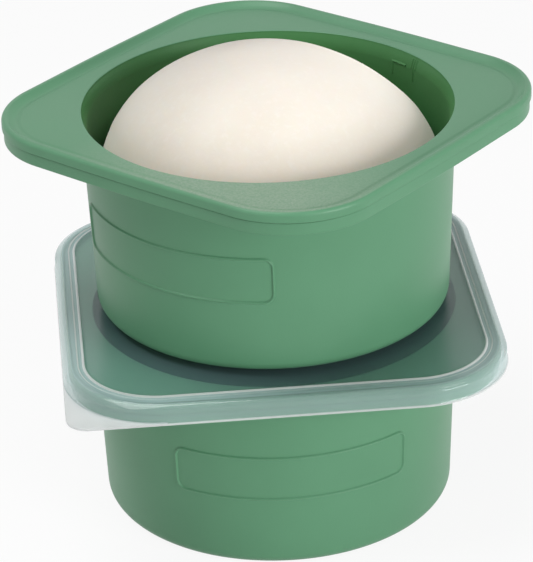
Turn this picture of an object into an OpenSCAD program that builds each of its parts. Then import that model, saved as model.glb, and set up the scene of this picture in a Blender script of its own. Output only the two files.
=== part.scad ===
// Dough proofing containers, stacked: a soft round cup with a square flange round its mouth,
// a clear snap lid on it, and a second cup of the same mould on the lid with a ball of dough in it.
// Millimetres, +Z up. The origin is the centre of the lower cup's foot.

/* [Cup] */
// Inner diameter of the cup at its mouth
mouth_d = 109.2; // [90:0.2:130]
// Thickness of the cup's wall
wall_t = 1.8; // [1.2:0.1:3]
// Taper of the wall, in degrees from upright
draft = 2.2; // [0:0.1:5]
// Height from the foot to the flange's flat top
cup_h = 62.7; // [50:0.1:90]
// Thickness of the cup's floor
floor_t = 2.4; // [1.5:0.1:4]
// Rounding between the wall and the underside
base_round_r = 3.5; // [1.5:0.1:6]
// Rounding between the wall and the floor, inside
inner_round_r = 2.5; // [1:0.1:5]
// Rounding of the mouth's edge
mouth_round_r = 1.6; // [0.5:0.1:2.5]
// Width of the flat ring that the cup stands on
foot_ring_w = 8; // [4:0.5:20]
// Depth of the hollow inside that ring
foot_recess_h = 0.6; // [0.2:0.1:1.2]

/* [Flange] */
// Least width of the flange, from the cup's wall to its edge
flange_w = 8.6; // [6.5:0.1:16]
// Corner radius of the flange
flange_corner_r = 28.5; // [14:0.5:40]
// Thickness of the flange below its flat top
flange_t = 5.9; // [4:0.1:9]
// Height of the lower tier of the flange's edge
tier_h = 4; // [1:0.1:4.5]
// How far the lower tier stands back
tier_inset = 0.5; // [0.2:0.1:1]
// Height of the raised rim round the flange
rim_h = 1.4; // [0.4:0.1:2]
// Rounding of the rim's outer edge
rim_round_r = 1.2; // [0.5:0.1:1.6]
// Width of the rim's flat top
rim_flat_w = 1; // [0.8:0.1:2.5]
// Width of the slope from the rim down to the flat
rim_slope_w = 2.6; // [0.6:0.1:3]
// Rounding where the flange's underside meets the wall
root_round_r = 1.5; // [0.5:0.1:2.5]

/* [Label frame] */
// Height of the raised frame's middle above the foot
label_mid_h = 30.8; // [24:0.1:38]
// Height of the frame
label_h = 15; // [8:0.2:20]
// Angle that the frame spans round the cup
label_angle = 77.6; // [40:0.2:100]
// Width of the frame's line
label_line_w = 0.7; // [0.5:0.1:1.5]
// How far the line stands out of the wall
label_line_h = 0.4; // [0.2:0.1:0.8]

/* [Fill marks] */
// Distance of the marks round the mouth from the label's middle, in degrees
marks_angle = 162.6; // [120:0.2:240]
// Height of the long scale line
marks_h = 7; // [5:0.5:16]
// Width of a mark's line
mark_w = 0.6; // [0.4:0.1:1]
// How far a mark stands out of the inner wall
mark_proud = 0.3; // [0.2:0.1:0.6]
// Height of the short lines on its two sides
side_line_h = 3; // [2:0.5:5]
// Distance between the scale lines
line_step = 1; // [0.9:0.1:2]
// Distance from the long line to the corner mark
corner_step = 9.4; // [6:0.2:14]
// Width of the corner mark
corner_w = 5.8; // [3:0.2:8]
// Depth of the corner mark below the scale lines' top
corner_drop = 3; // [1:0.5:6]

/* [Lid] */
// Thickness of the lid's sheet
lid_t = 1; // [0.6:0.1:1.4]
// Gap between the flange's edge and the lid's skirt
lid_gap = 0.4; // [0.3:0.1:1]
// How much tighter than the flange the lid turns its corners
corner_ease = 0.8; // [0:0.1:1.5]
// Height of the lid's edge from the skirt's foot to the border's top
skirt_h = 6.8; // [4:0.1:9]
// Rounding between the border and the skirt
edge_round_r = 2; // [1.2:0.1:2.2]
// Width of the border round the panel
border_w = 4.8; // [4:0.1:6]
// Width of the fine groove beside the panel
groove_w = 0.5; // [0.3:0.1:1]
// Depth of that groove
groove_d = 0.25; // [0.1:0.05:0.4]
// Width of the slope down to the panel
bevel_w = 0.5; // [0.3:0.1:1.2]
// How far the panel lies below the border's top
panel_drop = 0.4; // [0.3:0.1:0.6]
// Diameter of the raised seat for the next cup's foot
seat_d = 94; // [80:0.5:98]
// Rise of the seat above the panel
seat_rise = 1.5; // [0.5:0.1:2.5]
// How far the lip at the skirt's foot stands out
lip_w = 0.35; // [0.2:0.05:0.8]
// Height of that lip
lip_h = 0.8; // [0.5:0.1:1.5]
// Corner radius of the pull tab
tab_corner_r = 7; // [3:0.5:12]
// Thickness of the pull tab
tab_t = 0.8; // [0.5:0.1:1.5]

/* [Dough] */
// Gap between the dough's widest girth and the cup's wall
dough_gap = 2.2; // [1:0.1:6]
// Height of the widest girth above the cup's floor
dough_girth_h = 42.3; // [25:0.1:45]
// Height of the dough's crown above the flange's flat top
dough_crown_h = 16; // [5:0.1:25]
// Radius of the flat that the dough rests on
dough_foot_r = 36; // [20:0.5:42]

/* [Stack] */
// Turn of the upper cup against the lower one, in degrees
stack_turn = -43; // [-90:1:90]

/* [Hidden] */
$fn = 96;
arc_steps = 6;
dough_steps = 18;
eps = 0.01;

// Cup radii, each outside the wall
cup_top_r = mouth_d/2 + wall_t;
cup_base_r = cup_top_r - cup_h*tan(draft);

// Flange and lid outlines
flange_half = cup_top_r + flange_w;
flange_r = min(flange_corner_r, flange_half - eps);
rim_w = rim_round_r + rim_flat_w + rim_slope_w;
tier_top = tier_h - flange_t;
skirt_off = lid_gap + lid_t;
lid_half = flange_half + skirt_off;
lid_r = flange_r + skirt_off - corner_ease;

// Heights above a cup's flat top
border_top = rim_h + lid_t;
panel_top = border_top - panel_drop;
seat_top = panel_top + seat_rise;
skirt_foot = border_top - skirt_h;

// The upper cup's foot, and the dough's
stack_z = cup_h + seat_top;
dough_floor_z = stack_z + floor_t;
dough_girth_z = dough_floor_z + dough_girth_h;
dough_r = wall_r(floor_t + dough_girth_h) - wall_t - dough_gap;
dough_top_rise = stack_z + cup_h + dough_crown_h - dough_girth_z;
// Exponents of the dough's crown and of its belly
crown_rise = 1.3;
belly_round = 0.62;

// Radius of the cup's outer wall at height z above its foot
function wall_r(z) = cup_base_r + z*tan(draft);

// Points of an arc about (cx, cz) from angle a0 to a1
function arc(cx, cz, r, a0, a1, steps = arc_steps) =
    [for (i = [0:steps]) let (a = a0 + (a1 - a0)*i/steps) [cx + r*cos(a), cz + r*sin(a)]];

// Sweeps a profile round a square with rounded corners. In the profile x = 0 lies on a corner's
// own axis and x = r on the square's edge.
module around_square(half, r) {
    for (turn = [0:90:270]) rotate([0, 0, turn]) {
        translate([half - r, half - r, 0]) rotate_extrude(angle = 90) children();
        translate([half - r, 0, 0])
            rotate([90, 0, 0]) linear_extrude(height = 2*(half - r), center = true) children();
    }
}

// Cup

// Outer body of revolution: foot, rounded base, tapered wall and the root under the flange
module cup_outside() {
    base_x = wall_r(base_round_r) - base_round_r/cos(draft);
    root_z = cup_h - flange_t - root_round_r;
    root_x = wall_r(root_z) + root_round_r/cos(draft);
    rotate_extrude() polygon(concat(
        [[0, 0]],
        arc(base_x, base_round_r, base_round_r, -90, -draft),
        arc(root_x, root_z, root_round_r, 180 - draft, 90),
        [[root_x, cup_h - eps], [0, cup_h - eps]]));
}

// Square flange with its raised rim and the two tiers of its edge
module flange() {
    r = flange_r;
    low = -flange_t;
    rim_in = r - rim_w;
    translate([0, 0, cup_h]) {
        around_square(flange_half, r) polygon(concat(
            [[0, low], [r - tier_inset, low], [r - tier_inset, tier_top], [r, tier_top]],
            arc(r - rim_round_r, rim_h - rim_round_r, rim_round_r, 0, 90),
            [[r - rim_round_r - rim_flat_w, rim_h], [rim_in, 0], [0, 0]]));
        core = 2*(flange_half - r) + 2*eps;
        translate([-core/2, -core/2, low]) cube([core, core, flange_t]);
    }
}

// Everything inside the cup: rounded floor, tapered wall and the rounded edge of the mouth
module cup_inside() {
    floor_z = floor_t + inner_round_r;
    floor_x = wall_r(floor_z) - wall_t - inner_round_r/cos(draft);
    mouth_z = cup_h - mouth_round_r;
    mouth_x = wall_r(mouth_z) - wall_t + mouth_round_r/cos(draft);
    over = cup_h + rim_h + 1;
    rotate_extrude() polygon(concat(
        [[0, floor_t]],
        arc(floor_x, floor_z, inner_round_r, -90, -draft),
        arc(mouth_x, mouth_z, mouth_round_r, 180 - draft, 90),
        [[mouth_x, over], [0, over]]));
}

// Band of the wall's own taper between two heights and two offsets from the wall, over an angle
module wall_band(z0, z1, off0, off1, angle) {
    rotate([0, 0, -90 - angle/2]) rotate_extrude(angle = angle) polygon([
        [wall_r(z0) + off0, z0], [wall_r(z0) + off1, z0],
        [wall_r(z1) + off1, z1], [wall_r(z1) + off0, z1]]);
}

// Raised frame of the label, with nothing in it
module label_frame() {
    low = label_mid_h - label_h/2;
    high = label_mid_h + label_h/2;
    line_angle = 360*label_line_w/(2*PI*wall_r(label_mid_h));
    sunk = -wall_t/3;
    difference() {
        wall_band(low, high, sunk, label_line_h, label_angle);
        wall_band(low + label_line_w, high - label_line_w, sunk - 1, label_line_h + 1, label_angle - 2*line_angle);
    }
}

// Raised fill marks on the inner wall: a long scale line between two short ones, and a corner mark
module fill_marks() {
    top = cup_h - mouth_round_r - 1;
    low = top - marks_h;
    corner_top = top - corner_drop;
    deg = 360/(2*PI*(wall_r(top) - wall_t));
    inner = -wall_t - mark_proud;
    sunk = -wall_t*2/3;
    rotate([0, 0, marks_angle]) {
        wall_band(low, top, inner, sunk, mark_w*deg);
        for (side = [-1, 1]) rotate([0, 0, side*line_step*deg])
            wall_band(top - side_line_h, top, inner, sunk, mark_w*deg);
        rotate([0, 0, (corner_step + (mark_w - corner_w)/2)*deg]) difference() {
            wall_band(low, corner_top, inner, sunk, corner_w*deg);
            rotate([0, 0, -mark_w*deg])
                wall_band(low - 1, corner_top - mark_w, inner - 1, sunk + 1, corner_w*deg);
        }
    }
}

// One moulded container, standing on z = 0
module container() {
    difference() {
        union() {
            cup_outside();
            flange();
            label_frame();
        }
        cup_inside();
        translate([0, 0, -1]) cylinder(r = cup_base_r - base_round_r - foot_ring_w, h = foot_recess_h + 1);
    }
    fill_marks();
}

module lower_container() {
    color([0.36, 0.56, 0.44]) container();
}

module upper_container() {
    color([0.36, 0.56, 0.44]) translate([0, 0, stack_z]) rotate([0, 0, stack_turn]) container();
}

// Lid

// Section of the lid from the skirt's foot to the flat panel, as around_square() takes it
module lid_section() {
    r = lid_r;
    lip_x = r + lip_w;
    groove_x = r - border_w + groove_w;
    panel_x = r - border_w - bevel_w;
    outside = concat(
        [[r - lid_t, skirt_foot], [lip_x, skirt_foot], [lip_x, skirt_foot + lip_h], [r, skirt_foot + lip_h]],
        arc(r - edge_round_r, border_top - edge_round_r, edge_round_r, 0, 90),
        [[groove_x, border_top], [groove_x, border_top - groove_d],
         [groove_x - groove_w, border_top - groove_d], [panel_x, panel_top], [0, panel_top]]);
    inner_r = edge_round_r - lid_t;
    inside = concat(
        [[0, panel_top - lid_t], [panel_x - lid_t/2, panel_top - lid_t],
         [groove_x - groove_w - lid_t/2, rim_h]],
        arc(r - edge_round_r, rim_h - inner_r, inner_r, 90, 0));
    polygon(concat(outside, inside));
}

// Pull tab: the square corner that the skirt's rounded foot leaves open, filled in
module pull_tab() {
    reach = lid_half + lip_w;
    inner = lid_half - lid_r;
    tab_r = min(tab_corner_r, lid_r/2);
    difference() {
        translate([-reach, -reach, skirt_foot]) linear_extrude(height = tab_t) union() {
            translate([tab_r, 0]) square([lid_r + lip_w - tab_r, lid_r + lip_w]);
            translate([0, tab_r]) square([lid_r + lip_w, lid_r + lip_w - tab_r]);
            translate([tab_r, tab_r]) circle(tab_r);
        }
        translate([-inner, -inner, skirt_foot - 1]) cylinder(r = lid_r - lid_t/2, h = tab_t + 2);
    }
}

module lid() {
    core = 2*(lid_half - lid_r) + 2*eps;
    color([0.72, 0.80, 0.78]) translate([0, 0, cup_h]) difference() {
        union() {
            around_square(lid_half, lid_r) lid_section();
            translate([-core/2, -core/2, panel_top - lid_t]) cube([core, core, lid_t]);
            translate([0, 0, panel_top - lid_t/2]) cylinder(d = seat_d, h = seat_rise + lid_t/2);
            pull_tab();
        }
        translate([0, 0, panel_top - lid_t - 1]) cylinder(d = seat_d - 2*lid_t, h = seat_rise + 1);
    }
}

// Dough

// Half outline of the ball: a flat foot, a full belly and a crown with sloping shoulders
function belly(i) = let (a = 90*i/dough_steps)
    [dough_foot_r + (dough_r - dough_foot_r)*pow(sin(a), belly_round), dough_girth_z - dough_girth_h*cos(a)];
function crown(i) = let (a = 90*i/dough_steps)
    [dough_r*cos(a), dough_girth_z + dough_top_rise*pow(sin(a), crown_rise)];

module dough() {
    color([0.93, 0.91, 0.87]) rotate_extrude() polygon(concat(
        [[0, dough_floor_z]],
        [for (i = [0:dough_steps - 1]) belly(i)],
        [for (i = [0:dough_steps - 1]) crown(i)],
        [[0, dough_girth_z + dough_top_rise]]));
}

lower_container();
lid();
upper_container();
dough();
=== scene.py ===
"""Dough proofing containers, stacked.

A soft round cup with a square flange round its mouth, a clear snap lid on it, and on the lid a
second cup of the same mould, turned, with a ball of risen dough in it. Metres, +Z up. The origin
is the centre of the lower cup's foot, and -Y is the front.
"""
import math

import bmesh
import bpy
from mathutils import Matrix, Vector, noise


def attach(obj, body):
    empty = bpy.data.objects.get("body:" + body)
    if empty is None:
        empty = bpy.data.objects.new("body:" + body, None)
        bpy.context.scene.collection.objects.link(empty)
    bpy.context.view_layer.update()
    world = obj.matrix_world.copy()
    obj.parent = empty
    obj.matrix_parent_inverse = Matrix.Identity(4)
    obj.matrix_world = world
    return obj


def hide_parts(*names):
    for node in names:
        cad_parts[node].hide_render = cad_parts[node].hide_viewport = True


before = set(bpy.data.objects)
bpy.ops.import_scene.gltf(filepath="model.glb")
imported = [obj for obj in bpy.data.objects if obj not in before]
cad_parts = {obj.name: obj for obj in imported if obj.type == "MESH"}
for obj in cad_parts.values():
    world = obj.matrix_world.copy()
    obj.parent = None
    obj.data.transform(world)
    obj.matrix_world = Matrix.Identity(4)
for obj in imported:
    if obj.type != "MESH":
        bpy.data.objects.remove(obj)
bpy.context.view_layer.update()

MM = 0.001

# ---- sizes, the same as the solids' ---------------------------------------------------------

# Cup
MOUTH_D = 109.2*MM
WALL_T = 1.8*MM
DRAFT = math.radians(2.2)
CUP_H = 62.7*MM
FLOOR_T = 2.4*MM
BASE_ROUND_R = 3.5*MM
INNER_ROUND_R = 2.5*MM
MOUTH_EDGE_R = 56.2*MM
MOUTH_FLARE_H = 4.2*MM
FOOT_RING_W = 8*MM
FOOT_RECESS_H = 0.6*MM
CUP_TOP_R = MOUTH_D/2 + WALL_T
CUP_BASE_R = CUP_TOP_R - CUP_H*math.tan(DRAFT)

# Flange, with heights above or below the cup's flat top
FLANGE_W = 8.6*MM
FLANGE_CORNER_R = 28.5*MM
FLANGE_T = 5.9*MM
TIER_H = 4*MM
TIER_INSET = 0.5*MM
RIM_H = 1.4*MM
RIM_ROUND_R = 1.2*MM
RIM_FLAT_W = 0.5*MM
RIM_SLOPE_W = 2.9*MM
CHANNEL_D = 0.2*MM
OUTLINE_BOW = 0.005
ROOT_ROUND_R = 1.5*MM
FLANGE_HALF = CUP_TOP_R + FLANGE_W
TIER_TOP = TIER_H - FLANGE_T

# Label frame and fill marks
LABEL_MID_H = 30.8*MM
LABEL_H = 15*MM
LABEL_ANGLE = math.radians(77.6)
LABEL_LINE_W = 0.7*MM
LABEL_LINE_H = 0.5*MM
LABEL_CORNER_R = 2.9*MM
MARKS_ANGLE = math.radians(162.6)
MARKS_H = 7*MM
MARK_W = 0.6*MM
MARK_PROUD = 0.4*MM
SIDE_LINE_H = 3*MM
LINE_STEP = 1*MM
CORNER_STEP = 9.4*MM
CORNER_W = 5.8*MM
CORNER_DROP = 3*MM

# Lid, with heights above or below the cup's flat top
LID_T = 1.0*MM
LID_GAP = 0.4*MM
CORNER_EASE = 0.8*MM
SHEET_T = 0.45*MM
BORDER_TOP = RIM_H + SHEET_T
SKIRT_FOOT = -4.4*MM
EDGE_ROUND_W = 2.4*MM
EDGE_ROUND_H = 2.0*MM
BEVEL_SHAPE = ((0.02, 0.16), (0.06, 0.27), (0.13, 0.38), (0.75, 0.9), (0.84, 0.96), (0.92, 0.99), (1, 1))
INNER_EDGE_R = 1.2*MM
BORDER_W = 4.25*MM
GROOVE_D = 0.18*MM
PANEL_EDGE_IN = 6.45*MM
PANEL_TOP = 2.0*MM
SEAT_R = 47*MM
SEAT_TOP = 3.5*MM
LIP_W = 0.35*MM
LIP_H = 0.8*MM
TAB_CORNER_R = 7*MM
TAB_T = 0.8*MM
LID_HALF = FLANGE_HALF + LID_GAP + LID_T
LID_R = FLANGE_CORNER_R + LID_GAP + LID_T - CORNER_EASE

# Stack
STACK_Z = CUP_H + SEAT_TOP
STACK_TURN = math.radians(-43)

# Dough
DOUGH_GAP = 2.2*MM
DOUGH_GIRTH_H = 42.3*MM
DOUGH_CROWN_H = 16*MM
DOUGH_FOOT_R = 36*MM
DOUGH_SHRINK = 0.2*MM
DOUGH_LEAN = 2.4*MM
DOUGH_WAVE = 0.45*MM

# Steps round a cup or the lid, and along a rounded edge
AROUND = 720
ARC_STEPS = 6


# ---- outlines and skins -------------------------------------------------------------------

def circle(radius):
    """Polar radius of a circle."""
    return lambda angle: radius


def square(half, corner):
    """Polar radius of a square with rounded corners."""
    def radius(angle):
        a, b = abs(math.cos(angle)), abs(math.sin(angle))
        high, low = max(a, b), min(a, b)
        if half*low/high <= half - corner:
            return half/high
        reach = (half - corner)*(a + b)
        return reach + math.sqrt(max(0.0, reach**2 - 2*(half - corner)**2 + corner**2))
    return radius


def bowed(outline):
    """An outline whose straight sides bow out a little."""
    return lambda angle: outline(angle)*(1 + OUTLINE_BOW*math.cos(4*angle))


def arc(cx, cz, r, start, end, steps=ARC_STEPS):
    """Points (x, z) of an arc, with its angles in degrees."""
    turns = [math.radians(start + (end - start)*i/steps) for i in range(steps + 1)]
    return [(cx + r*math.cos(t), cz + r*math.sin(t)) for t in turns]


def make_piece(name, mesh, body, materials, sharp=35):
    """Links a mesh as a piece of the object, smooth apart from its sharp edges."""
    for polygon in mesh.polygons:
        polygon.use_smooth = True
    mesh.set_sharp_from_angle(angle=math.radians(sharp))
    piece = bpy.data.objects.new(name, mesh)
    bpy.context.scene.collection.objects.link(piece)
    for material in materials:
        mesh.materials.append(material)
    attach(piece, body)
    return piece


def skin(name, rings, turn=0.0, lift=0.0, around=AROUND):
    """Closed mesh through rings of (outline, height), from one pole to the other.

    A ring whose outline is None is a pole. A third item in a ring is the material index of the
    faces that lead to it.
    """
    mesh = bpy.data.meshes.new(name)
    bm = bmesh.new()
    angles = [2*math.pi*i/around for i in range(around)]
    last = None
    for ring in rings:
        outline, z = ring[0], ring[1]
        slot_index = ring[2] if len(ring) > 2 else 0
        if outline is None:
            row = [bm.verts.new((0, 0, z + lift))]
        else:
            row = []
            for angle in angles:
                r = outline(angle)
                row.append(bm.verts.new((r*math.cos(angle + turn), r*math.sin(angle + turn), z + lift)))
        if last is not None:
            for i in range(around):
                j = (i + 1) % around
                if len(last) == 1:
                    corners = (last[0], row[j], row[i])
                elif len(row) == 1:
                    corners = (last[i], last[j], row[0])
                else:
                    corners = (last[i], last[j], row[j], row[i])
                face = bm.faces.new(corners)
                face.material_index = slot_index
        last = row
    bmesh.ops.recalc_face_normals(bm, faces=bm.faces)
    bm.to_mesh(mesh)
    bm.free()
    return mesh


def tube(name, path, normals, section, closed=True):
    """Mesh of a section (across, out) swept along a path, with the wall's normal at each point."""
    mesh = bpy.data.meshes.new(name)
    bm = bmesh.new()
    rows = []
    count = len(path)
    for i, (point, normal) in enumerate(zip(path, normals)):
        before = path[i - 1] if closed or i > 0 else point
        after = path[(i + 1) % count] if closed or i < count - 1 else point
        along = (after - before).normalized()
        across = along.cross(normal).normalized()
        rows.append([bm.verts.new(point + across*a + normal*o) for a, o in section])
    spans = count if closed else count - 1
    for i in range(spans):
        row, following = rows[i], rows[(i + 1) % count]
        for k in range(len(section)):
            m = (k + 1) % len(section)
            bm.faces.new((row[k], row[m], following[m], following[k]))
    if not closed:
        bm.faces.new(rows[0])
        bm.faces.new(list(reversed(rows[-1])))
    bmesh.ops.recalc_face_normals(bm, faces=bm.faces)
    bm.to_mesh(mesh)
    bm.free()
    return mesh


# ---- materials ------------------------------------------------------------------------------

def new_material(name):
    """Node material with its shader, ready for a texture."""
    material = bpy.data.materials.new(name)
    material.use_nodes = True
    shader = material.node_tree.nodes["Principled BSDF"]
    return material, material.node_tree, shader


def add_node(tree, kind, **values):
    """New node with its properties or its inputs set."""
    node = tree.nodes.new(kind)
    for key, value in values.items():
        if key in node.inputs:
            node.inputs[key].default_value = value
        else:
            setattr(node, key, value)
    return node


def set_inputs(node, values):
    """Sets a node's inputs by their names."""
    for key, value in values.items():
        node.inputs[key].default_value = value


def noise_texture(tree, scale, detail=3.0, roughness=0.5):
    """Noise in the object's own metres, with features about 1/scale wide."""
    coordinates = add_node(tree, "ShaderNodeTexCoord")
    texture = add_node(tree, "ShaderNodeTexNoise")
    set_inputs(texture, {"Scale": scale, "Detail": detail, "Roughness": roughness})
    tree.links.new(coordinates.outputs["Object"], texture.inputs["Vector"])
    return texture.outputs["Fac"]


def map_range(tree, value, low, high, new_low, new_high):
    """Number mapped from one range to another."""
    node = add_node(tree, "ShaderNodeMapRange")
    set_inputs(node, {"From Min": low, "From Max": high, "To Min": new_low, "To Max": new_high})
    tree.links.new(value, node.inputs["Value"])
    return node.outputs["Result"]


def mix_colour(tree, factor, first, second):
    """Two colours mixed by a number."""
    node = add_node(tree, "ShaderNodeMix", data_type="RGBA")
    tree.links.new(factor, node.inputs["Factor"])
    for socket, colour in ((node.inputs[6], first), (node.inputs[7], second)):
        if isinstance(colour, tuple):
            socket.default_value = (*colour, 1)
        else:
            tree.links.new(colour, socket)
    return node.outputs[2]


def bump(tree, height, distance, strength=1.0, normal=None):
    """Bump of a height texture, on top of another one if given."""
    node = add_node(tree, "ShaderNodeBump")
    set_inputs(node, {"Strength": strength, "Distance": distance})
    tree.links.new(height, node.inputs["Height"])
    if normal is not None:
        tree.links.new(normal, node.inputs["Normal"])
    return node.outputs["Normal"]


def flour_and_painted_sheen(tree):
    """Amount of whitening on faces that look up, most of it in front of the dough: partly flour specks, partly painted
    sheen.
    """
    geometry = add_node(tree, "ShaderNodeNewGeometry")
    axes = add_node(tree, "ShaderNodeSeparateXYZ")
    tree.links.new(geometry.outputs["Normal"], axes.inputs["Vector"])
    upward = map_range(tree, axes.outputs["Z"], 0.9, 0.99, 0, 1)
    coordinates = add_node(tree, "ShaderNodeTexCoord")
    distance = add_node(tree, "ShaderNodeVectorMath", operation="DISTANCE")
    distance.inputs[1].default_value = (-0.018, -0.068, STACK_Z + CUP_H)
    tree.links.new(coordinates.outputs["Object"], distance.inputs[0])
    # Painted sheen: more whitening on the flange in front of the dough, where it looks lighter
    near = map_range(tree, distance.outputs["Value"], 0.062, 0.02, 0, 1)
    specks = map_range(tree, noise_texture(tree, 1500, 4, 0.7), 0.35, 0.65, 0.6, 1.4)
    amount = upward
    for factor in (map_range(tree, near, 0, 1, 0.015, 0.22), specks):
        product = add_node(tree, "ShaderNodeMath", operation="MULTIPLY")
        tree.links.new(amount, product.inputs[0])
        tree.links.new(factor, product.inputs[1])
        amount = product.outputs[0]
    return amount


def silicone_material(name, deep, light, roughness, shine):
    """Soft satin moulded silicone with a fine skin, whitened where it looks up by a little flour and by painted sheen.
    """
    material, tree, shader = new_material(name)
    broad = noise_texture(tree, 45, 3)
    grain = noise_texture(tree, 2600, 2)
    colour = mix_colour(tree, map_range(tree, broad, 0.3, 0.7, 0, 1), deep, light)
    # Flour specks and painted sheen whiten the faces that look up
    tree.links.new(mix_colour(tree, flour_and_painted_sheen(tree), colour, FLOUR_AND_SHEEN), shader.inputs["Base Color"])
    tree.links.new(map_range(tree, broad, 0.3, 0.7, roughness - 0.03, roughness + 0.03), shader.inputs["Roughness"])
    tree.links.new(bump(tree, grain, 0.00003), shader.inputs["Normal"])
    set_inputs(shader, {"Specular IOR Level": shine})
    return material


def clear_material(name, haze, haze_colour, tint, gloss_roughness, mirror, slant_power=5):
    """Clear milky plastic: its haze grows with the way through it, and its gloss with the slant."""
    material, tree, shader = new_material(name)
    ripple = noise_texture(tree, 60, 2)
    grain = noise_texture(tree, 900, 2)
    normal = bump(tree, grain, 0.000006, 1.0, bump(tree, ripple, 0.00004))
    tree.links.new(normal, shader.inputs["Normal"])
    tree.links.new(mix_colour(tree, ripple, haze_colour, tuple(0.94*c for c in haze_colour)),
                   shader.inputs["Base Color"])
    tree.links.new(map_range(tree, grain, 0.3, 0.7, 0.16, 0.24), shader.inputs["Roughness"])
    set_inputs(shader, {"Specular IOR Level": 0.5})
    clear = add_node(tree, "ShaderNodeBsdfTransparent")
    clear.inputs["Color"].default_value = (*tint, 1)
    gloss = add_node(tree, "ShaderNodeBsdfGlossy")
    gloss.inputs["Roughness"].default_value = gloss_roughness
    tree.links.new(normal, gloss.inputs["Normal"])

    # Share of the light that the surface mirrors: a few parts in a hundred head on, all at a slant
    slant = add_node(tree, "ShaderNodeLayerWeight")
    slant.inputs["Blend"].default_value = 0.5
    power = add_node(tree, "ShaderNodeMath", operation="POWER")
    power.inputs[1].default_value = slant_power
    tree.links.new(slant.outputs["Facing"], power.inputs[0])
    mirrored = map_range(tree, power.outputs[0], 0, 1, *mirror)

    # Haze: the share that gets through is raised to the power of the way's length
    way = add_node(tree, "ShaderNodeMath", operation="DIVIDE")
    way.inputs[0].default_value = 1
    tree.links.new(map_range(tree, slant.outputs["Facing"], 0, 1, 1, 0.06), way.inputs[1])
    through = add_node(tree, "ShaderNodeMath", operation="POWER")
    through.inputs[0].default_value = 1 - haze
    tree.links.new(way.outputs[0], through.inputs[1])
    hazy = map_range(tree, through.outputs[0], 0, 1, 1, 0)

    sheet = add_node(tree, "ShaderNodeMixShader")
    tree.links.new(mirrored, sheet.inputs["Fac"])
    tree.links.new(clear.outputs["BSDF"], sheet.inputs[1])
    tree.links.new(gloss.outputs["BSDF"], sheet.inputs[2])
    milky = add_node(tree, "ShaderNodeMixShader")
    tree.links.new(hazy, milky.inputs["Fac"])
    tree.links.new(sheet.outputs["Shader"], milky.inputs[1])
    tree.links.new(shader.outputs["BSDF"], milky.inputs[2])
    tree.links.new(milky.outputs["Shader"], tree.nodes["Material Output"].inputs["Surface"])
    return material


def dough_material():
    """Smooth risen dough, faintly mottled and dusted with flour, with painted shade low down near the cup's rim."""
    material, tree, shader = new_material("dough")
    mottle = noise_texture(tree, 38, 4)
    flour = noise_texture(tree, 520, 4, 0.65)
    skin_grain = noise_texture(tree, 900, 3)
    body = mix_colour(tree, map_range(tree, mottle, 0.35, 0.65, 0, 1), DOUGH_WARM, DOUGH_PALE)
    floured = mix_colour(tree, map_range(tree, flour, 0.5, 0.7, 0, 0.4), body, DOUGH_FLOUR)

    # Painted shade: the ball darker and warmer low down, towards the cup's rim
    coordinates = add_node(tree, "ShaderNodeTexCoord")
    axes = add_node(tree, "ShaderNodeSeparateXYZ")
    tree.links.new(coordinates.outputs["Object"], axes.inputs["Vector"])
    rim = STACK_Z + CUP_H
    low = map_range(tree, axes.outputs["Z"], rim - 10*MM, rim + 4*MM, 0.6, 0)
    with_painted_shade = mix_colour(tree, low, floured, DOUGH_PAINTED_SHADE)
    tree.links.new(with_painted_shade, shader.inputs["Base Color"])
    tree.links.new(map_range(tree, flour, 0.4, 0.65, 0.62, 0.85), shader.inputs["Roughness"])
    waves = bump(tree, mottle, 0.0006, 0.5)
    tree.links.new(bump(tree, skin_grain, 0.00005, 0.6, waves), shader.inputs["Normal"])
    set_inputs(shader, {"Specular IOR Level": 0.25, "Subsurface Weight": 0.6, "Subsurface Scale": 0.012,
                        "Sheen Weight": 1.0, "Sheen Roughness": 0.7,
                        "Sheen Tint": (1, 0.94, 0.86, 1)})
    shader.inputs["Subsurface Radius"].default_value = (1.0, 0.7, 0.45)
    return material


# Whitish colour of the flour and of the painted sheen on the silicone
FLOUR_AND_SHEEN = (0.62, 0.60, 0.54)
DOUGH_WARM, DOUGH_PALE, DOUGH_FLOUR = (0.785, 0.725, 0.64), (0.825, 0.77, 0.69), (0.865, 0.83, 0.78)
# Darker, warmer tone of the painted shade low on the dough ball
DOUGH_PAINTED_SHADE = (0.66, 0.55, 0.45)
SILICONE = silicone_material("container_silicone", (0.092, 0.251, 0.137), (0.099, 0.264, 0.146), 0.42, 0.37)
# Darker, deeper green copy of the silicone on the inner wall: painted shade inside the cups
SILICONE_PAINTED_SHADE = silicone_material("container_inside_painted_shade", (0.050, 0.178, 0.055), (0.060, 0.198, 0.068), 0.36, 0.22)
LID_PANEL = clear_material("lid_panel", 0.062, (0.37, 0.62, 0.66), (0.98, 0.985, 0.985), 0.22, (0.03, 0.62))
LID_BORDER = clear_material("lid_border", 0.255, (0.55, 0.72, 0.74), (0.96, 0.985, 0.975), 0.09, (0.03, 0.8))
# Whiter, hazier copy of the clear plastic on the lid's bevel, groove edge, lip and tab: painted highlight along its
# edges
LID_EDGE_PAINTED_HIGHLIGHT = clear_material("lid_edge_painted_highlight", 0.46, (0.80, 0.82, 0.82), (0.95, 0.96, 0.96), 0.12, (0.035, 0.9))
LID_SKIRT = clear_material("lid_skirt", 0.185, (0.55, 0.74, 0.73), (0.96, 0.98, 0.975), 0.08, (0.03, 1), 3)
DOUGH = dough_material()


# ---- cups -----------------------------------------------------------------------------------

def wall_r(z):
    """Radius of the cup's outer wall at a height above its foot."""
    return CUP_BASE_R + z*math.tan(DRAFT)


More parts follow.
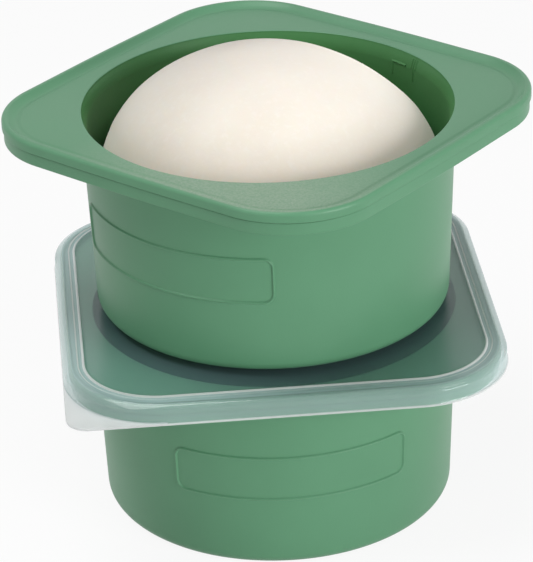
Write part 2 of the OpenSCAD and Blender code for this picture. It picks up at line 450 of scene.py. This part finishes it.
def inner_r(z):
    """Radius of the inner wall at a height above the foot, with its flare towards the mouth."""
    edge = 0.35*MM
    flare = max(0.0, (z - (CUP_H - edge - MOUTH_FLARE_H))/MOUTH_FLARE_H)
    wall = wall_r(z) - WALL_T
    return wall + (MOUTH_EDGE_R - edge*0.87 - (wall_r(CUP_H - edge) - WALL_T))*flare**1.6


def cup_rings():
    """Rings of a cup from the middle of its underside over the flange to the middle of its floor."""
    draft = math.degrees(DRAFT)
    recess_r = CUP_BASE_R - BASE_ROUND_R - FOOT_RING_W
    ease = 0.25*MM
    base_x = wall_r(BASE_ROUND_R) - BASE_ROUND_R/math.cos(DRAFT)
    root_z = CUP_H - FLANGE_T - ROOT_ROUND_R
    root_x = wall_r(root_z) + ROOT_ROUND_R/math.cos(DRAFT)
    rings = [(None, FOOT_RECESS_H)]

    def turned(points, material=0):
        rings.extend((circle(x), z, material) for x, z in points)

    def squared(points):
        rings.extend((bowed(square(FLANGE_HALF - inset, FLANGE_CORNER_R - inset)), CUP_H + z)
                     for inset, z in points)

    # Foot, base and outer wall
    turned([(recess_r - ease, FOOT_RECESS_H), (recess_r, FOOT_RECESS_H - ease)])
    turned(arc(recess_r + ease, ease, ease, 180, 270, 3))
    turned(arc(base_x, BASE_ROUND_R, BASE_ROUND_R, -90, -draft, 10))
    turned([(wall_r(z), z) for z in (BASE_ROUND_R + (root_z - BASE_ROUND_R)*i/12 for i in range(1, 12))])
    turned(arc(root_x, root_z, ROOT_ROUND_R, 180 - draft, 90, 8))

    # Edge of the flange: the lower tier, the line between the tiers and the upper tier
    foot_r, line_d, top_r = 0.4*MM, 0.6*MM, 0.3*MM
    squared([(TIER_INSET + foot_r + 0.5*MM, -FLANGE_T)])
    squared([(2*TIER_INSET + foot_r - (x + foot_r), z)
             for x, z in arc(TIER_INSET - foot_r, -FLANGE_T + foot_r, foot_r, -90, 0, 5)])
    squared([(TIER_INSET, TIER_TOP - 0.32*MM), (TIER_INSET + 0.1*MM, TIER_TOP - 0.22*MM),
             (TIER_INSET + line_d, TIER_TOP - 0.2*MM), (TIER_INSET + line_d, TIER_TOP)])
    squared([(top_r - x, z) for x, z in arc(0, TIER_TOP + top_r, top_r, -90, 0, 5)])
    squared([(RIM_ROUND_R - x, z) for x, z in arc(0, RIM_H - RIM_ROUND_R, RIM_ROUND_R, 0, 90, 10)])

    # Hollow slope from the rim down to a shallow channel, and up to the flat
    crest = RIM_ROUND_R + RIM_FLAT_W
    squared([(crest, RIM_H), (crest + 0.12*MM, RIM_H - 0.03*MM)])
    for i in range(1, 13):
        t = i/12
        squared([(crest + 0.12*MM + RIM_SLOPE_W*t, -CHANNEL_D + (RIM_H - 0.03*MM + CHANNEL_D)*(1 - t)**1.9)])
    for i in range(1, 6):
        t = i/5
        squared([(crest + 0.12*MM + RIM_SLOPE_W + 1.2*MM*t, -CHANNEL_D*(1 - t*t*(3 - 2*t)))])

    # Crisp edge of the mouth, the flare under it, the inner wall and the floor
    floor_z = FLOOR_T + INNER_ROUND_R
    floor_x = wall_r(floor_z) - WALL_T - INNER_ROUND_R/math.cos(DRAFT)
    edge = 0.35*MM
    turned([(MOUTH_EDGE_R + 0.4*MM, CUP_H)])
    turned(arc(MOUTH_EDGE_R, CUP_H - edge, edge, 90, 150, 4))
    top = CUP_H - edge
    turned([(inner_r(z), z) for z in (top - MOUTH_FLARE_H*i/12 for i in range(13))], 1)
    low = top - MOUTH_FLARE_H
    turned([(inner_r(z), z) for z in (low + (floor_z - low)*i/12 for i in range(1, 12))], 1)
    turned(arc(floor_x, floor_z, INNER_ROUND_R, -draft, -90, 8), 1)
    rings.append((None, FLOOR_T, 1))
    return rings


def bead_section(width, height, sunk):
    """Half-round bead with a soft foot, and its back sunk in the wall."""
    points = []
    steps = 10
    for i in range(steps + 1):
        t = -1 + 2*i/steps
        points.append((t*width*0.75, height*(1 - t*t)**1.5))
    return [(-width*0.75, -sunk)] + points + [(width*0.75, -sunk)]


def on_wall(angle, z, offset):
    """Point on the cup's wall, and the wall's normal there."""
    r = wall_r(z) + offset
    normal = Vector((math.cos(angle), math.sin(angle), -math.tan(DRAFT))).normalized()
    return Vector((r*math.cos(angle), r*math.sin(angle), z)), normal


def placed(mesh, turn, lift):
    """Turns and lifts a mesh to its cup's place."""
    mesh.transform(Matrix.Translation((0, 0, lift)) @ Matrix.Rotation(turn, 4, "Z"))
    return mesh


def label_frame(prefix, body, turn, lift):
    """Raised line of the label's frame, with rounded corners and nothing in it."""
    mid_r = wall_r(LABEL_MID_H)
    half_w = LABEL_ANGLE*mid_r/2 - LABEL_LINE_W/2
    half_h = LABEL_H/2 - LABEL_LINE_W/2
    r = LABEL_CORNER_R
    outline = []
    for sx, sz, start in ((1, 1, 0), (-1, 1, 90), (-1, -1, 180), (1, -1, 270)):
        outline += [(sx*(half_w - r) + dx, sz*(half_h - r) + dz) for dx, dz in arc(0, 0, r, start, start + 90, 6)]
    dense = []
    for i, (x0, z0) in enumerate(outline):
        x1, z1 = outline[(i + 1) % len(outline)]
        parts = max(1, round(math.hypot(x1 - x0, z1 - z0)/(1.5*MM)))
        dense += [(x0 + (x1 - x0)*k/parts, z0 + (z1 - z0)*k/parts) for k in range(parts)]
    spots = [on_wall(-math.pi/2 + x/mid_r, LABEL_MID_H + z, 0) for x, z in dense]
    section = bead_section(LABEL_LINE_W, LABEL_LINE_H, 0.3*MM)
    mesh = tube(prefix + "_label_frame", [p for p, n in spots], [n for p, n in spots], section)
    return make_piece(prefix + "_label_frame", placed(mesh, turn, lift), body, [SILICONE])


def fill_marks(prefix, body, turn, lift):
    """Raised fill marks on the inner wall: a long scale line between two short ones, and a corner mark."""
    top = CUP_H - 0.8*MM
    middle = -math.pi/2 + MARKS_ANGLE
    wall = wall_r(CUP_H) - WALL_T

    def line(name, points):
        path = []
        for (x0, d0), (x1, d1) in zip(points, points[1:]):
            parts = max(2, round(math.hypot(x1 - x0, d1 - d0)/(1*MM)))
            path += [(x0 + (x1 - x0)*k/parts, d0 + (d1 - d0)*k/parts) for k in range(parts)]
        path.append(points[-1])
        spots = [on_wall(middle + x/wall, top - d, inner_r(top - d) - wall_r(top - d)) for x, d in path]
        section = bead_section(MARK_W, MARK_PROUD, 0.2*MM)
        mesh = tube(name, [p for p, n in spots], [-n for p, n in spots], section, closed=False)
        make_piece(name, placed(mesh, turn, lift), body, [SILICONE_PAINTED_SHADE])

    line(prefix + "_scale_line", [(0, 0), (0, MARKS_H)])
    line(prefix + "_side_line_left", [(LINE_STEP, 0), (LINE_STEP, SIDE_LINE_H)])
    line(prefix + "_side_line_right", [(-LINE_STEP, 0), (-LINE_STEP, SIDE_LINE_H)])
    line(prefix + "_corner_mark", [(CORNER_STEP, MARKS_H), (CORNER_STEP, CORNER_DROP),
                                   (CORNER_STEP - CORNER_W, CORNER_DROP)])


def cup(node, body, turn, lift):
    """One moulded container in place of its CAD node."""
    mesh = placed(skin(body + "_shell", cup_rings()), turn, lift)
    shell = make_piece(body + "_shell", mesh, body, [SILICONE, SILICONE_PAINTED_SHADE])
    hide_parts(node)
    label_frame(body, body, turn, lift)
    fill_marks(body, body, turn, lift)


cup("lower_container", "lower_container", 0.0, 0.0)
cup("upper_container", "upper_container", STACK_TURN, STACK_Z)


# ---- lid ------------------------------------------------------------------------------------

def lid_rings():
    """Rings of the lid from the middle of its underside round the skirt to the middle of its top."""
    panel, border, edge, skirt = 0, 1, 2, 3
    ease = 0.15*MM
    under = PANEL_TOP - SHEET_T
    recess_r = SEAT_R - SHEET_T
    rings = [(None, CUP_H + SEAT_TOP - SHEET_T)]

    def turned(points, material):
        rings.extend((circle(r), CUP_H + z, material) for r, z in points)

    def squared(points, material):
        rings.extend((square(LID_HALF - inset, LID_R - inset), CUP_H + z, material) for inset, z in points)

    # Underside, and the inside of the skirt
    turned([(recess_r - ease, SEAT_TOP - SHEET_T), (recess_r, SEAT_TOP - SHEET_T - ease),
            (recess_r, under + ease), (recess_r + ease, under)], panel)
    squared([(PANEL_EDGE_IN + 1.2*MM, under), (PANEL_EDGE_IN, under)], panel)
    squared([(BORDER_W + 1.1*MM, BORDER_TOP - GROOVE_D - SHEET_T),
             (BORDER_W + 0.4*MM, BORDER_TOP - GROOVE_D - SHEET_T), (BORDER_W - 0.2*MM, RIM_H)], border)
    squared([(LID_T + INNER_EDGE_R + 0.2*MM, RIM_H)], border)
    squared([(LID_T + INNER_EDGE_R - x, z) for x, z in arc(0, RIM_H - INNER_EDGE_R, INNER_EDGE_R, 90, 0, 5)], skirt)
    squared([(LID_T, SKIRT_FOOT + ease)], skirt)

    # Foot of the skirt with its lip
    squared([(LID_T - ease, SKIRT_FOOT), (-LIP_W + ease, SKIRT_FOOT), (-LIP_W, SKIRT_FOOT + ease)], edge)
    squared([(-LIP_W, SKIRT_FOOT + LIP_H - 2*ease), (-LIP_W + ease, SKIRT_FOOT + LIP_H - ease)], edge)
    squared([(-ease, SKIRT_FOOT + LIP_H), (0, SKIRT_FOOT + LIP_H + 2*ease)], skirt)

    # Skirt, a wide bevel with rounded ends, and the border
    squared([(0, BORDER_TOP - EDGE_ROUND_H)], skirt)
    squared([(x*EDGE_ROUND_W, BORDER_TOP - EDGE_ROUND_H*(1 - z)) for x, z in BEVEL_SHAPE], skirt)
    squared([(BORDER_W, BORDER_TOP)], border)
    squared([(BORDER_W + 0.15*MM, BORDER_TOP - 0.05*MM), (BORDER_W + 0.4*MM, BORDER_TOP - GROOVE_D)], edge)

    # Shallow groove, slope and the raised edge of the panel
    slope = PANEL_EDGE_IN - 0.75*MM
    squared([(slope, BORDER_TOP - GROOVE_D)], border)
    squared([(slope + 0.1*MM, BORDER_TOP - GROOVE_D + 0.15*MM), (slope + 0.2*MM, PANEL_TOP - 0.05*MM),
             (slope + 0.35*MM, PANEL_TOP + 0.1*MM), (slope + 0.6*MM, PANEL_TOP + 0.1*MM),
             (slope + 0.75*MM, PANEL_TOP)], edge)

    # Panel, and the seat in its middle
    squared([(PANEL_EDGE_IN + 1.2*MM, PANEL_TOP)], panel)
    turned([(SEAT_R + 2*ease, PANEL_TOP), (SEAT_R + ease/2, PANEL_TOP + ease/2), (SEAT_R, PANEL_TOP + 2*ease),
            (SEAT_R, SEAT_TOP - 2*ease), (SEAT_R - ease/2, SEAT_TOP - ease/2), (SEAT_R - 2*ease, SEAT_TOP)], panel)
    rings.append((None, CUP_H + SEAT_TOP, panel))
    return rings


def pull_tab():
    """Flat square corner at the lid's front left, which the skirt's rounded foot leaves open."""
    mesh = bpy.data.meshes.new("lid_pull_tab")
    bm = bmesh.new()
    centre = -(LID_HALF - LID_R)
    reach = LID_R + LIP_W
    inner = LID_R - LID_T/2
    low, high = CUP_H + SKIRT_FOOT, CUP_H + SKIRT_FOOT + TAB_T
    ease = 0.2*MM
    outline = square(reach, TAB_CORNER_R)
    rows = []
    steps = 180
    for i in range(steps + 1):
        angle = math.pi + math.pi/2*i/steps
        r = outline(angle)
        section = [(inner, low), (r - ease, low), (r - ease/3, low + ease/3), (r, low + ease),
                   (r, high - ease), (r - ease/3, high - ease/3), (r - ease, high), (inner, high)]
        rows.append([bm.verts.new((centre + x*math.cos(angle), centre + x*math.sin(angle), z)) for x, z in section])
    for row, following in zip(rows, rows[1:]):
        for k in range(len(row)):
            m = (k + 1) % len(row)
            bm.faces.new((row[k], row[m], following[m], following[k]))
    bm.faces.new(rows[0])
    bm.faces.new(list(reversed(rows[-1])))
    bmesh.ops.recalc_face_normals(bm, faces=bm.faces)
    bm.to_mesh(mesh)
    bm.free()
    return make_piece("lid_pull_tab", mesh, "lid", [LID_EDGE_PAINTED_HIGHLIGHT])


lid_sheet = make_piece("lid_shell", skin("lid_shell", lid_rings()), "lid",
                       [LID_PANEL, LID_BORDER, LID_EDGE_PAINTED_HIGHLIGHT, LID_SKIRT])
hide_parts("lid")
pull_tab()


# ---- dough ----------------------------------------------------------------------------------

def dough_ball():
    """Ball of risen dough: a flat foot, a full belly and a crown, a little uneven all over."""
    floor_z = STACK_Z + FLOOR_T
    girth_z = floor_z + DOUGH_GIRTH_H
    radius = wall_r(FLOOR_T + DOUGH_GIRTH_H) - WALL_T - DOUGH_GAP - DOUGH_SHRINK
    rise = STACK_Z + CUP_H + DOUGH_CROWN_H - girth_z - DOUGH_SHRINK
    steps, around = 60, 240
    profile = [(0, floor_z)]
    for i in range(steps):
        a = math.pi/2*i/steps
        profile.append((DOUGH_FOOT_R + (radius - DOUGH_FOOT_R)*math.sin(a)**0.62, girth_z - DOUGH_GIRTH_H*math.cos(a)))
    for i in range(steps + 1):
        a = math.pi/2*i/steps
        profile.append((radius*math.cos(a), girth_z + rise*math.sin(a)**1.3))
    for _ in range(40):
        eased = list(profile)
        for i in range(steps - 14, steps + 16):
            eased[i] = tuple((profile[i - 1][k] + 2*profile[i][k] + profile[i + 1][k])/4 for k in (0, 1))
        profile = eased
    rings = [(None if r < 1e-6 else circle(r), z) for r, z in profile]
    mesh = skin("dough_ball", rings, around=around)
    for vertex in mesh.vertices:
        if vertex.co.z > floor_z + 1*MM:
            spot = vertex.co*28
            shift = noise.noise(spot)*DOUGH_WAVE + noise.noise(spot*2.7)*DOUGH_WAVE*0.3
            outward = (vertex.co - Vector((0, 0, girth_z - 10*MM))).normalized()
            vertex.co += outward*(shift - DOUGH_WAVE*0.2)
            up = min(1.0, max(0.0, (vertex.co.z - girth_z)/rise))
            vertex.co.x -= DOUGH_LEAN*up*up*(3 - 2*up)
    return mesh


dough = make_piece("dough_ball", dough_ball(), "dough", [DOUGH], sharp=180)
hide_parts("dough")


# ---- floor, light and camera ----------------------------------------------------------------

def seen_rays(tree):
    """1 for rays from the camera, a mirror or glass, which see the surroundings as plain white."""
    path = add_node(tree, "ShaderNodeLightPath")
    seen = path.outputs["Is Camera Ray"]
    for output in ("Is Glossy Ray", "Is Transmission Ray"):
        larger = add_node(tree, "ShaderNodeMath", operation="MAXIMUM")
        tree.links.new(seen, larger.inputs[0])
        tree.links.new(path.outputs[output], larger.inputs[1])
        seen = larger.outputs[0]
    return seen


def studio():
    """Pale floor and white surroundings."""
    mesh = bpy.data.meshes.new("floor")
    bm = bmesh.new()
    bmesh.ops.create_grid(bm, x_segments=1, y_segments=1, size=4)
    bm.to_mesh(mesh)
    bm.free()
    floor = bpy.data.objects.new("floor", mesh)
    bpy.context.scene.collection.objects.link(floor)
    material, tree, shader = new_material("floor")
    speckle = noise_texture(tree, 8, 2)
    tree.links.new(mix_colour(tree, speckle, (0.84, 0.84, 0.84), (0.86, 0.86, 0.86)), shader.inputs["Base Color"])
    set_inputs(shader, {"Roughness": 0.8, "Specular IOR Level": 0.1})
    glow = add_node(tree, "ShaderNodeEmission")
    glow.inputs["Strength"].default_value = 1.0
    mix = add_node(tree, "ShaderNodeMixShader")
    tree.links.new(map_range(tree, seen_rays(tree), 0, 1, 0, FLOOR_WHITE), mix.inputs["Fac"])
    tree.links.new(shader.outputs["BSDF"], mix.inputs[1])
    tree.links.new(glow.outputs["Emission"], mix.inputs[2])
    tree.links.new(mix.outputs["Shader"], tree.nodes["Material Output"].inputs["Surface"])
    mesh.materials.append(material)

    world = bpy.data.worlds.new("studio")
    bpy.context.scene.world = world
    world.use_nodes = True
    tree = world.node_tree
    background = tree.nodes["Background"]
    background.inputs["Color"].default_value = (1, 1, 1, 1)
    tree.links.new(map_range(tree, seen_rays(tree), 0, 1, AMBIENT, 1), background.inputs["Strength"])


def lamp(name, place, target, size, power):
    """Soft square lamp that looks at a point."""
    light = bpy.data.lights.new(name, "AREA")
    light.shape = "SQUARE"
    light.size = size
    light.energy = power
    lamp_object = bpy.data.objects.new(name, light)
    lamp_object.location = place
    lamp_object.rotation_euler = (Vector(target) - Vector(place)).to_track_quat("-Z", "Y").to_euler()
    bpy.context.scene.collection.objects.link(lamp_object)
    return lamp_object


def camera():
    """Camera at the photograph's viewing angle, with a long lens."""
    turn, rise, roll = math.radians(4.465), math.radians(27.062), math.radians(-1.859)
    distance = 0.973626
    data = bpy.data.cameras.new("camera")
    data.sensor_width = 36
    data.lens = 3162.126*36/562
    towards = Vector((-math.sin(turn)*math.cos(rise), -math.cos(turn)*math.cos(rise), math.sin(rise)))
    side = Vector((math.cos(turn), -math.sin(turn), 0))
    up = side.cross(-towards)
    right = side*math.cos(roll) + up*math.sin(roll)
    top = -side*math.sin(roll) + up*math.cos(roll)
    target = side*(-2.091*MM) + Vector((0, 0, 68.951*MM))
    view = bpy.data.objects.new("camera", data)
    view.matrix_world = Matrix.Translation(target + towards*distance) @ Matrix((
        (right.x, top.x, towards.x, 0), (right.y, top.y, towards.y, 0), (right.z, top.z, towards.z, 0),
        (0, 0, 0, 1)))
    data.clip_start = 0.01
    bpy.context.scene.collection.objects.link(view)
    bpy.context.scene.camera = view


AMBIENT = 0.25
FLOOR_WHITE = 0.9
studio()
lamp("key", (0.98, -1.06, 0.35), (0, 0, 0.07), 0.8, 16.1)
lamp("fill", (-1.1, -0.9, 0.3), (0, 0, 0.07), 0.8, 3.1)
lamp("top", (-0.35, -0.1, 1.15), (0, 0, 0.07), 0.7, 7.9)
camera()
bpy.context.scene.view_settings.view_transform = "Standard"
